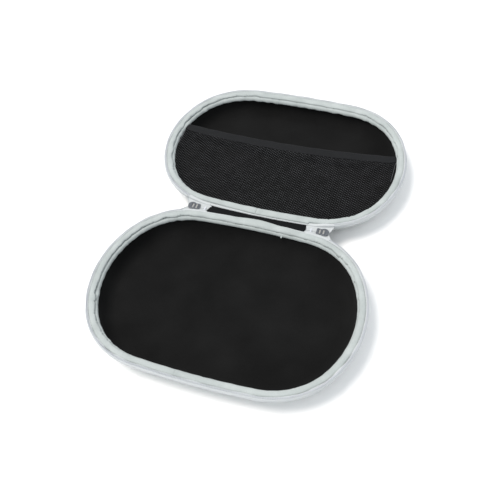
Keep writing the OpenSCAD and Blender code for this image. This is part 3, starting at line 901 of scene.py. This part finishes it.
net = keep(makeNet(), "lid", "net", "pocket_mesh")
band = keep(makeBand(), "lid", "band", "pocket_band")
elasticLine = [(v, -0.44 + 0.26 * (1 - (2 * v - 1) ** 2)) for v in np.linspace(0.1, 0.84, 9)]
elastic = slabPiece("pocket_flat_elastic", alongMouth(elasticLine), 0.5, elasticRubber)
keep(elastic, "lid", "elastic", "pocket_elastic")
stitchRows = alongMouth([(0.12, 0.2), (0.86, 0.2)])[3:-3]
topStitch = growAlong("pocket_band_stitches", [stitchRows[:, 0], stitchRows[:, 1]], stitchTree,
                      {"Pitch": 2.6 * mm, "Thread": 0.2 * mm, "Stretch": 4.4, "Seed": 5}, blackThread)
keep(topStitch, "lid", "thread")
print("pocket made")


# Hinge strip and the tapes beside it
hinge = {"webRise": 0.35, "webThick": 1.1, "leftEnds": (-58.8, -54.8), "rightEnds": (54.8, 55.2),
         "tucked": 0.8, "coverPast": 1.4, "coverReach": 3.9, "coverThick": 1.0, "unevenness": 0.1}
flare = {"to": 89, "thick": 0.7, "chainHeight": -3.55, "footHeight": -1.3, "topHeight": 1.2}
sideOf = {"base": -1, "lid": 1}


# Half the distance between the two outlines at x
def gapAt(x):
    return hingeY + halfY - (middleY - wallReach(np.abs(x), 0))


def makeWeb(half):
    columns = []
    for j, v in enumerate(np.linspace(0, 1, 12)):
        over = 0.5 + 0.5 * v * sideOf[half]               # 0 at the base's edge, 1 at the lid's
        left, right = (a + (b - a) * over for a, b in (hinge["leftEnds"], hinge["rightEnds"]))
        x = np.linspace(left, right, 150)
        y = sideOf[half] * (v * (gapAt(x) + hinge["tucked"]) + 0.02)
        uneven = hinge["unevenness"] * np.sin(x / 11 + j * 0.4)
        columns.append((x, y, webHigh.z / mm + hinge["webRise"] * v ** 2 + uneven))
    grid = np.transpose(columns, (2, 0, 1))
    return slabPiece(half + "_hinge_web_half", grid, hinge["webThick"], webbingCloth, seamed=True)


def makeHingeCover(half):
    reach = webHigh.x / mm + hinge["coverPast"]
    x = np.linspace(-reach, reach, 120)
    uneven = hinge["unevenness"] * np.sin(x / 13)
    columns = [(x, np.full(len(x), sideOf[half] * (v * hinge["coverReach"] + 0.02)),
                webLow.z / mm - 0.25 - 0.5 * (1 - v) + uneven) for v in np.linspace(0, 1, 8)]
    grid = np.transpose(columns, (2, 0, 1))
    return slabPiece(half + "_hinge_cover_half", grid, hinge["coverThick"], coverCloth, seamed=True)


# The zip's tape between the strip and the slider, then its turn up onto the rim
def makeFlare(half, side):
    ends = hinge["leftEnds"] if side < 0 else hinge["rightEnds"]
    x = np.linspace(abs(ends[0 if half == "base" else 1]) - 0.25, flare["to"], 90)
    turn = eased(np.clip((x - sliderEnd + 1.5) / (flare["to"] - sliderEnd), 0, 1))
    outer = gapAt(x) + 0.25
    inner = 0.12 + turn * (outer + 1.0)
    innerZ = flare["chainHeight"] + turn * (flare["topHeight"] - flare["chainHeight"])
    columns = []
    for v in np.linspace(0, 1, 12):
        rise = (flare["footHeight"] - innerZ) * eased(v) - 0.25 * math.sin(math.pi * v)
        columns.append((side * x, sideOf[half] * (inner + (outer - inner) * v), rimZ + innerZ + rise))
    name = half + ("_zip_tape_end_right" if side > 0 else "_zip_tape_end_left")
    return slabPiece(name, np.transpose(columns, (2, 0, 1)), flare["thick"], zipTapeCloth)


# Each half of a hinge piece is baked where it stands, and the CAD node it replaces is hidden
def bend(piece, half, node):
    if half == "base":
        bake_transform(piece)
    else:
        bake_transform(piece)
    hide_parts(node)


for half in ("base", "lid"):
    bend(makeWeb(half), half, "hinge_web")
    bend(makeHingeCover(half), half, "hinge_cover")
    for side, node in ((-1, "tape_end_left"), (1, "tape_end_right")):
        bend(makeFlare(half, side), half, node)
for node in ("zip_stop_left", "zip_stop_right"):
    paintNode(node, coilNylon)
print("hinge made")

# Sliders and pulls
slider = {"plate": 1.15, "gap": 2.8, "windowX": (-3.1, 1.0), "windowWide": 1.9, "windowLong": 0.56,
          "bevel": 0.28, "rib": 0.6, "ribHigh": 0.4, "rail": 0.75, "bar": 0.72}
pull = {"bevel": 0.3, "eye": 1.15}
# x and z of the bar that each pull hangs on
bars = {side: [v / mm for v in joints["pull_" + side + "_swing"]["pos_m"][::2]]
        for side in ("left", "right")}


# Adds flat outlines in mm, filled, with a thickness and a rounded edge; inner outlines are holes
def platePart(work, outlines, low, high, bevel, place=None):
    curve = bpy.data.curves.new("plate_outline", "CURVE")
    curve.dimensions = "2D"
    curve.fill_mode = "BOTH"
    curve.extrude = ((high - low) / 2 - bevel) * mm
    curve.bevel_depth = bevel * mm
    curve.bevel_resolution = 2
    curve.offset = -bevel * mm
    for outline in outlines:
        spline = curve.splines.new("POLY")
        spline.points.add(len(outline) - 1)
        for point, (x, y) in zip(spline.points, outline):
            point.co = (x * mm, y * mm, 0, 1)
        spline.use_cyclic_u = True
    holder = bpy.data.objects.new("plate_outline", curve)
    mesh = bpy.data.meshes.new_from_object(holder)
    mesh.transform(Matrix.Translation((0, 0, (low + high) / 2 * mm)))
    if place is not None:
        mesh.transform(place)
    work.from_mesh(mesh)
    bpy.data.objects.remove(holder)
    bpy.data.curves.remove(curve)
    bpy.data.meshes.remove(mesh)


def ovalLine(cx, cy, rx, ry, count=28, power=2.0):
    angles = np.linspace(0, 2 * math.pi, count, endpoint=False)
    return [(cx + rx * abs(a) ** (2 / power) * np.sign(a), cy + ry * abs(b) ** (2 / power) * np.sign(b))
            for a, b in zip(np.cos(angles), np.sin(angles))]


# Half of the shield's outline, from the round mouth end to the narrower end where the chain comes out
shieldHalf = [(1.0, 0.0), (0.98, 0.32), (0.9, 0.6), (0.74, 0.82), (0.5, 0.96), (0.22, 1.0), (0.02, 0.95),
              (-0.14, 0.82), (-0.3, 0.74), (-0.55, 0.74), (-0.8, 0.8), (-0.94, 0.76), (-1.0, 0.6),
              (-1.0, 0.0)]


def shieldLine(length, width):
    side = [(x * length / 2, y * width / 2) for x, y in shieldHalf]
    return side + [(x, -y) for x, y in reversed(side[1:-1])]


# Length, width, middle and top of a slider, read from the frame
def sliderSize(name):
    low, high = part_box(name)
    return (high.x - low.x) / mm, (high.y - low.y) / mm, (low.x + high.x) / 2 / mm, high.z / mm


def makeSlider(name, side):
    length, width, middleX, top = sliderSize(name)
    plate, bevel = slider["plate"], slider["bevel"]
    under = top - plate - slider["gap"]
    work = bmesh.new()
    windows = [ovalLine(wx, 0, slider["windowWide"] / 2, width * slider["windowLong"] / 2, 20, 5)
               for wx in slider["windowX"]]
    platePart(work, [shieldLine(length, width)] + windows, top - plate, top, bevel)
    platePart(work, [shieldLine(length - 0.3, width - 0.3)], under - plate, under, bevel)
    post = ovalLine(length / 2 - 3.3, 0, 2.0, 1.5, 20, 2.4)
    platePart(work, [post], under - 0.2, top - plate + 0.2, 0.1)
    first, last = slider["windowX"]
    for rx, share in ((first - 1.75, 0.28), ((first + last) / 2, 0.3), (last + 1.85, 0.34)):
        rib = ovalLine(rx, 0, slider["rib"], width * share, 16, 3)
        platePart(work, [rib], top - 0.2, top + slider["ribHigh"], 0.15)
    rail = [(-length * 0.36, 0), (length * 0.1, 0), (length * 0.1, 0.8), (-length * 0.36, 0.8)]
    for ySide in (-1, 1):
        place = Matrix.Translation((0, (ySide * (width * 0.415) - 0.4) * mm, 0))
        platePart(work, [rail], top - plate - slider["rail"], top - plate + 0.15, 0.12, place)
        platePart(work, [rail], under - 0.15, under + slider["rail"], 0.12, place)
    # two ears and the bar under the lower plate, which the pull hangs on
    barX, barZ = bars[name.split("_")[1]]
    barX = (barX - middleX) * side
    standUp = Matrix.Rotation(math.pi / 2, 4, "X")
    earY = width * 0.31
    ear = [(barX - 1.5, barZ - 1.2), (barX + 1.5, barZ - 1.2), (barX + 1.9, under - 0.9),
           (barX - 2.3, under - 0.9)]
    for ySide in (-1, 1):
        platePart(work, [ear], -0.45, 0.45, 0.2, Matrix.Translation((0, ySide * earY * mm, 0)) @ standUp)
    bar = ovalLine(0, 0, slider["bar"], slider["bar"], 14)
    platePart(work, [bar], -earY, earY, 0.1, Matrix.Translation((barX * mm, 0, barZ * mm)) @ standUp)
    if side < 0:
        bmesh.ops.scale(work, vec=(-1, 1, 1), verts=work.verts)
    bmesh.ops.translate(work, vec=(middleX * mm, 0, 0), verts=work.verts)
    return fromWork(work, name + "_body", sliderZinc)


# A mesh object from the plates added so far
def fromWork(work, name, material):
    bmesh.ops.remove_doubles(work, verts=work.verts, dist=0.004 * mm)
    bmesh.ops.recalc_face_normals(work, faces=work.faces)
    mesh = bpy.data.meshes.new(name)
    work.to_mesh(mesh)
    work.free()
    mesh.polygons.foreach_set("material_index", [0] * len(mesh.polygons))
    return addObject(name, mesh, material)


# The brighter, warmer metal that shows in the slider's two windows, a painted highlight
def makeWindowPads(name, side):
    length, width, middleX, top = sliderSize(name)
    work = bmesh.new()
    for wx in slider["windowX"]:
        pad = ovalLine(wx * side, 0, slider["windowWide"] / 2 - 0.05,
                       width * slider["windowLong"] / 2 - 0.05, 20, 5)
        platePart(work, [pad], top - slider["plate"], top - 0.35, 0.1)
    bmesh.ops.translate(work, vec=(middleX * mm, 0, 0), verts=work.verts)
    return fromWork(work, name + "_windows", windowHighlightZinc)


# A drop-shaped pull with an eye at the bar and a slot near its end, hanging down
def makePull(name):
    low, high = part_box(name)
    barX, barZ = bars[name.split("_")[1]]
    width, thick, tall = ((high[k] - low[k]) / mm for k in range(3))
    outline = []
    for t in np.linspace(0, 2 * math.pi, 56, endpoint=False):
        along = (1 - math.cos(t)) / 2
        reach = width / 2 * (0.86 + 0.14 * math.cos(along * 2 * math.pi)) * abs(math.sin(t)) ** 0.62
        outline.append((math.copysign(reach, math.sin(t)), high.z / mm - barZ - along * tall))
    drop = barZ - low.z / mm
    holes = [ovalLine(0, 0, pull["eye"], pull["eye"], 20),
             ovalLine(0, -drop * 0.62, width * 0.2, drop * 0.17, 24, 3)]
    work = bmesh.new()
    place = Matrix.Translation((barX * mm, 0, barZ * mm)) @ Matrix.Rotation(math.pi / 2, 4, "X")
    platePart(work, [outline] + holes, -thick / 2, thick / 2, pull["bevel"], place)
    return fromWork(work, name + "_drop", pullZinc)


for name, side in (("slider_left", -1), ("slider_right", 1)):
    keep(makeSlider(name, side), name, "zinc_alloy", name)
    keep(makeWindowPads(name, side), name, "zinc_alloy")
    pullName = name.replace("slider", "pull")
    keep(makePull(pullName), pullName, "pull_metal", pullName)
print("sliders and pulls made")

# Floor, light and camera
lights = {"world": 0.92, "worldColour": (0.93, 0.965, 1, 1), "from": (-0.46, -0.16, 1.0), "strength": 2.2,
          "spread": 26, "colour": (1, 0.95, 0.9)}
floorMesh = bpy.data.meshes.new("studio_floor")
floorMesh.from_pydata([(x, y, -0.0001) for x, y in ((-4, -4), (4, -4), (4, 4), (-4, 4))], [], [(0, 1, 2, 3)])
# studio paper: plain white, no gloss, so that only the soft shadow shows
paper = newMaterial("white_studio_paper", {"Roughness": 0.9, "Base Color": toLinear("#fbfbfb")})
addObject("studio_floor", floorMesh, paper[0])

world = bpy.data.worlds.new("studio")
world.use_nodes = True
world.node_tree.nodes["Background"].inputs["Color"].default_value = lights["worldColour"]
world.node_tree.nodes["Background"].inputs["Strength"].default_value = lights["world"]
bpy.context.scene.world = world
softbox = bpy.data.lights.new("softbox", "SUN")
softbox.energy, softbox.color = lights["strength"], lights["colour"]
softbox.angle = math.radians(lights["spread"])
addObject("softbox", softbox).rotation_euler = (-Vector(lights["from"])).to_track_quat("-Z", "Y").to_euler()

view = {"azimuth": 22.34, "elevation": 50.38, "roll": -5.37, "distance": 0.7564,
        "target": (-0.0078, -0.0353, 0.027), "lens": 53.0}
az, el, roll = (math.radians(view[k]) for k in ("azimuth", "elevation", "roll"))
back = Vector((math.sin(az) * math.cos(el), -math.cos(az) * math.cos(el), math.sin(el)))
right = Vector((math.cos(az), math.sin(az), 0))
up = back.cross(right)
sideways = right * math.cos(roll) + up * math.sin(roll)
upward = up * math.cos(roll) - right * math.sin(roll)
lensData = bpy.data.cameras.new("camera")
lensData.lens, lensData.sensor_width, lensData.clip_start = view["lens"], 36, 0.01
camera = addObject("camera", lensData)
turned = Matrix((sideways, upward, back)).transposed().to_4x4()
camera.matrix_world = Matrix.Translation(Vector(view["target"]) + back * view["distance"]) @ turned
bpy.context.scene.camera = camera
bpy.context.scene.view_settings.view_transform = "Standard"
